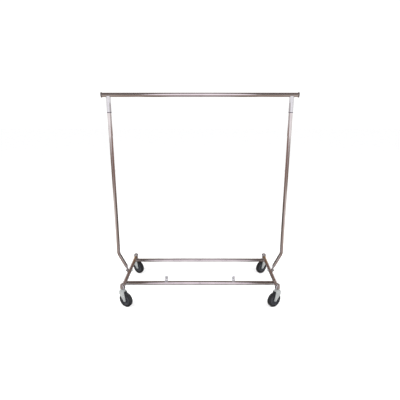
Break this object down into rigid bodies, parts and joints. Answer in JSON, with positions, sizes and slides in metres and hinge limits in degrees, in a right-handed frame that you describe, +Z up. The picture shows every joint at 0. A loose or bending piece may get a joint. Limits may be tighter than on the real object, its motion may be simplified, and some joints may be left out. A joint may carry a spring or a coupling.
{
  "type": "garment rail",
  "caption": "Rolling chromed garment rail: round hanging bar on two posts with bent feet, a rectangular tube base and swivel casters.",
  "frame": {"origin": "on the floor under the middle of the base frame, midway between the side bars and halfway along them", "axes": "+X along the hanging rail to the right, +Y from front to rear, +Z up"},
  "size_m": [1.524, 0.6601, 1.6595],
  "materials": {
    "chrome_tube": "bright chrome plate on steel tube",
    "chrome_fitting": "bright chrome plate on pressed and turned fittings",
    "zinc": "bright zinc plate, slightly satin",
    "spring_steel": "blued spring steel",
    "tyre": "solid black rubber",
    "core_plastic": "moulded charcoal polypropylene",
    "collar_plastic": "moulded dark nylon"
  },
  "bodies": {
    "base_frame": {"front_bar": "chrome_tube", "rear_bar": "chrome_tube", "side_bar_left": "chrome_tube", "side_bar_right": "chrome_tube", "corner_post_front_left": "chrome_tube", "corner_cap_front_left": "chrome_fitting", "caster_stem_front_left": "zinc", "corner_post_front_right": "chrome_tube", "corner_cap_front_right": "chrome_fitting", "caster_stem_front_right": "zinc", "corner_post_rear_left": "chrome_tube", "corner_cap_rear_left": "chrome_fitting", "caster_stem_rear_left": "zinc", "corner_post_rear_right": "chrome_tube", "corner_cap_rear_right": "chrome_fitting", "caster_stem_rear_right": "zinc", "pivot_spacer_left": "chrome_fitting", "pivot_bolt_left": "zinc", "pivot_nut_left": "chrome_fitting", "storage_clip_left": "chrome_fitting", "pivot_spacer_right": "chrome_fitting", "pivot_bolt_right": "zinc", "pivot_nut_right": "chrome_fitting", "storage_clip_right": "chrome_fitting", "clip_rivets": "zinc"},
    "upright_frame": {"upright_left": "chrome_tube", "pivot_lug_left": "chrome_fitting", "upright_right": "chrome_tube", "pivot_lug_right": "chrome_fitting"},
    "sliding_posts": {"upper_post_left": "chrome_tube", "upper_post_right": "chrome_tube"},
    "hanging_rail": {"rail_tube": "chrome_tube", "rail_socket_left": "chrome_fitting", "socket_collar_left": "collar_plastic", "rail_socket_right": "chrome_fitting", "socket_collar_right": "collar_plastic"},
    "button_left": {"snap_button_left": "zinc", "button_spring_left": "spring_steel"},
    "extension_left": {"extension_rod_left": "chrome_tube", "end_cap_left": "chrome_fitting"},
    "button_right": {"snap_button_right": "zinc", "button_spring_right": "spring_steel"},
    "extension_right": {"extension_rod_right": "chrome_tube", "end_cap_right": "chrome_fitting"},
    "caster_front_left": {"caster_fork_front_left": "zinc", "axle_front_left": "zinc"},
    "wheel_front_left": {"tyre_front_left": "tyre", "wheel_core_front_left": "core_plastic"},
    "caster_front_right": {"caster_fork_front_right": "zinc", "axle_front_right": "zinc"},
    "wheel_front_right": {"tyre_front_right": "tyre", "wheel_core_front_right": "core_plastic"},
    "caster_rear_left": {"caster_fork_rear_left": "zinc", "axle_rear_left": "zinc"},
    "wheel_rear_left": {"tyre_rear_left": "tyre", "wheel_core_rear_left": "core_plastic"},
    "caster_rear_right": {"caster_fork_rear_right": "zinc", "axle_rear_right": "zinc"},
    "wheel_rear_right": {"tyre_rear_right": "tyre", "wheel_core_rear_right": "core_plastic"}
  },
  "joints": [
    {"name": "frame_fold", "type": "hinge", "parent": "base_frame", "child": "upright_frame", "pos_m": [0, 0, 0.162], "axis": [-1, 0, 0], "range_deg": [0, 90]},
    {"name": "rail_height", "type": "slide", "parent": "upright_frame", "child": "sliding_posts", "axis": [0, 0, 1], "range_m": [-0.2, 0]},
    {"name": "rail_lift_off", "type": "slide", "parent": "sliding_posts", "child": "hanging_rail", "axis": [0, 0, 1], "range_m": [0, 0.16]},
    {"name": "button_press_left", "type": "slide", "parent": "upright_frame", "child": "button_left", "axis": [-1, 0, 0], "range_m": [0, 0.003], "stiffness_N_per_m": 1500, "springref_m": -0.001},
    {"name": "rod_pull_left", "type": "slide", "parent": "hanging_rail", "child": "extension_left", "axis": [-1, 0, 0], "range_m": [0, 0.3]},
    {"name": "button_press_right", "type": "slide", "parent": "upright_frame", "child": "button_right", "axis": [1, 0, 0], "range_m": [0, 0.003], "stiffness_N_per_m": 1500, "springref_m": -0.001},
    {"name": "rod_pull_right", "type": "slide", "parent": "hanging_rail", "child": "extension_right", "axis": [1, 0, 0], "range_m": [0, 0.3]},
    {"name": "swivel_front_left", "type": "hinge", "parent": "base_frame", "child": "caster_front_left", "pos_m": [-0.617, -0.289, 0.135], "axis": [0, 0, 1], "continuous": true},
    {"name": "spin_front_left", "type": "hinge", "parent": "caster_front_left", "child": "wheel_front_left", "pos_m": [-0.59295, -0.30233, 0.06], "axis": [-0.4848, -0.8746, 0], "continuous": true},
    {"name": "swivel_front_right", "type": "hinge", "parent": "base_frame", "child": "caster_front_right", "pos_m": [0.617, -0.289, 0.135], "axis": [0, 0, 1], "continuous": true},
    {"name": "spin_front_right", "type": "hinge", "parent": "caster_front_right", "child": "wheel_front_right", "pos_m": [0.59295, -0.30233, 0.06], "axis": [-0.4848, 0.8746, 0], "continuous": true},
    {"name": "swivel_rear_left", "type": "hinge", "parent": "base_frame", "child": "caster_rear_left", "pos_m": [-0.617, 0.289, 0.135], "axis": [0, 0, 1], "continuous": true},
    {"name": "spin_rear_left", "type": "hinge", "parent": "caster_rear_left", "child": "wheel_rear_left", "pos_m": [-0.5942, 0.27362, 0.06], "axis": [-0.5592, -0.829, 0], "continuous": true},
    {"name": "swivel_rear_right", "type": "hinge", "parent": "base_frame", "child": "caster_rear_right", "pos_m": [0.617, 0.289, 0.135], "axis": [0, 0, 1], "continuous": true},
    {"name": "spin_rear_right", "type": "hinge", "parent": "caster_rear_right", "child": "wheel_rear_right", "pos_m": [0.5942, 0.27362, 0.06], "axis": [-0.5592, 0.829, 0], "continuous": true}
  ]
}
